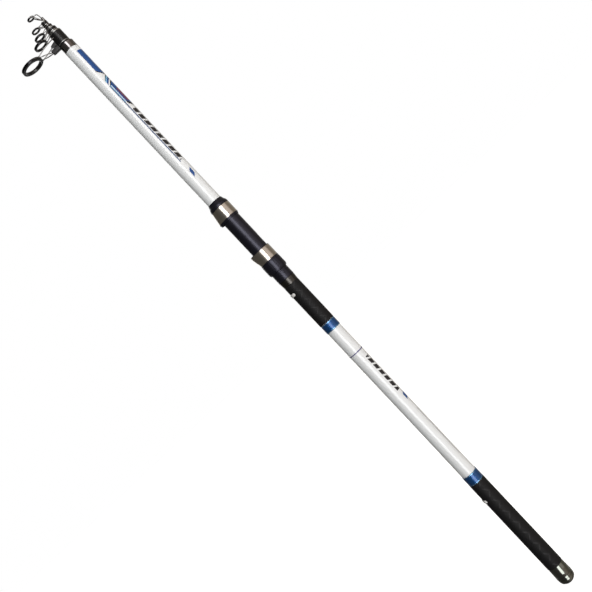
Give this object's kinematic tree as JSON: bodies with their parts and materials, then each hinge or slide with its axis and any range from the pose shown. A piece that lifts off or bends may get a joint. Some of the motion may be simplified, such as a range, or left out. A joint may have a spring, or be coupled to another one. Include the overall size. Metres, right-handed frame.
{
  "type": "telescopic fishing rod",
  "caption": "Closed telescopic surf rod with line guides, a screw reel seat with no reel in it, wrapped grips and a screw cap on the butt.",
  "frame": {"origin": "centre of the butt end's flat face, on the rod's axis", "axes": "+Z along the rod from butt to tip; -X is the reel side, where the reel foot's bed and the line guides face; Y follows by the right-hand rule"},
  "size_m": [0.0909, 0.0352, 1.118],
  "materials": {
    "white_lacquer": "pearl white lacquer over glass fibre, glossy",
    "dark_chrome": "dark chrome, mirror-like",
    "gunmetal": "gunmetal grey anodised aluminium, satin to glossy",
    "black_plastic": "black moulded plastic, satin",
    "black_rubber": "black rubber, matt",
    "blue_thread": "metallic blue thread under clear epoxy",
    "violet_thread": "dark violet thread under clear epoxy",
    "black_thread": "black thread under clear epoxy, with silver trim",
    "white_plastic": "white plastic",
    "tape": "wound masking tape soaked in glue",
    "foam": "black foam rubber",
    "glass_fibre": "dark glass-fibre tube, glossy",
    "steel_wire": "stainless steel wire and band, polished",
    "black_ceramic": "black ceramic, polished"
  },
  "bodies": {
    "butt": {"butt_section": "white_lacquer", "mouth_ferrule": "dark_chrome", "lower_grip": "black_rubber", "upper_grip": "black_rubber", "lower_winding": "blue_thread", "upper_winding": "blue_thread", "seam_ring": "violet_thread", "lower_clip": "white_plastic", "upper_clip": "white_plastic", "butt_insert": "gunmetal", "seat_end_ring": "gunmetal", "seat_body": "black_plastic", "seat_bushing_lower": "tape", "seat_bushing_upper": "tape", "seat_nose": "black_plastic", "fixed_hood": "gunmetal", "fixed_hood_liner": "black_plastic"},
    "bumper": {"cap_bumper": "foam"},
    "cap": {"butt_cap": "gunmetal", "butt_pad": "black_rubber"},
    "hood": {"moving_hood": "gunmetal", "moving_hood_liner": "black_plastic"},
    "nut": {"lock_nut": "black_plastic"},
    "second": {"second_section": "glass_fibre"},
    "stripper": {"stripper_winding": "black_thread", "stripper_foot": "black_plastic", "stripper_frame": "steel_wire", "stripper_shock_ring": "black_rubber", "stripper_ring": "black_ceramic"},
    "third": {"third_section": "glass_fibre"},
    "middle_guide": {"middle_guide_winding": "black_thread", "middle_guide_frame": "steel_wire", "middle_guide_ring": "black_ceramic"},
    "fourth": {"fourth_section": "glass_fibre"},
    "upper_guide": {"upper_guide_winding": "black_thread", "upper_guide_frame": "steel_wire", "upper_guide_ring": "black_ceramic"},
    "tip": {"tip_section": "glass_fibre"},
    "sliding_guide": {"sliding_guide_collar": "black_plastic", "sliding_guide_frame": "steel_wire", "sliding_guide_ring": "black_ceramic"},
    "tip_top": {"tip_top_frame": "steel_wire", "tip_top_ring": "black_ceramic"}
  },
  "joints": [
    {"name": "cap_slide", "type": "slide", "parent": "butt", "child": "bumper", "axis": [0, 0, -1], "range_m": [0, 0.011]},
    {"name": "cap_turn", "type": "hinge", "parent": "bumper", "child": "cap", "pos_m": [0, 0, 0], "axis": [0, 0, -1], "range_deg": [0, 2640]},
    {"name": "hood_slide", "type": "slide", "parent": "butt", "child": "hood", "axis": [0, 0, 1], "range_m": [-0.015, 0.02]},
    {"name": "nut_turn", "type": "hinge", "parent": "hood", "child": "nut", "pos_m": [0, 0, 0.6093], "axis": [0, 0, 1], "range_deg": [-2700, 3600]},
    {"name": "second_slide", "type": "slide", "parent": "butt", "child": "second", "axis": [0, 0, 1], "range_m": [0, 0.845]},
    {"name": "stripper_turn", "type": "hinge", "parent": "second", "child": "stripper", "pos_m": [0, 0, 1.0553], "axis": [0, 0, 1], "continuous": true},
    {"name": "third_slide", "type": "slide", "parent": "second", "child": "third", "axis": [0, 0, 1], "range_m": [0, 0.845]},
    {"name": "middle_guide_turn", "type": "hinge", "parent": "third", "child": "middle_guide", "pos_m": [0, 0, 1.0793], "axis": [0, 0, 1], "continuous": true},
    {"name": "fourth_slide", "type": "slide", "parent": "third", "child": "fourth", "axis": [0, 0, 1], "range_m": [0, 0.845]},
    {"name": "upper_guide_turn", "type": "hinge", "parent": "fourth", "child": "upper_guide", "pos_m": [0, 0, 1.087], "axis": [0, 0, 1], "continuous": true},
    {"name": "tip_slide", "type": "slide", "parent": "fourth", "child": "tip", "axis": [0, 0, 1], "range_m": [0, 0.845]},
    {"name": "slider_slide", "type": "slide", "parent": "tip", "child": "sliding_guide", "axis": [0, 0, -1], "range_m": [0, 0.3]},
    {"name": "tip_top_turn", "type": "hinge", "parent": "tip", "child": "tip_top", "pos_m": [0, 0, 1.1016], "axis": [0, 0, 1], "continuous": true}
  ],
  "couplings": [
    {"joint": "cap_slide", "follows": "cap_turn", "m_per_rad": 0.00023873},
    {"joint": "hood_slide", "follows": "nut_turn", "m_per_rad": 0.0003183},
    {"joint": "slider_slide", "follows": "tip_slide", "ratio": 0.355}
  ]
}
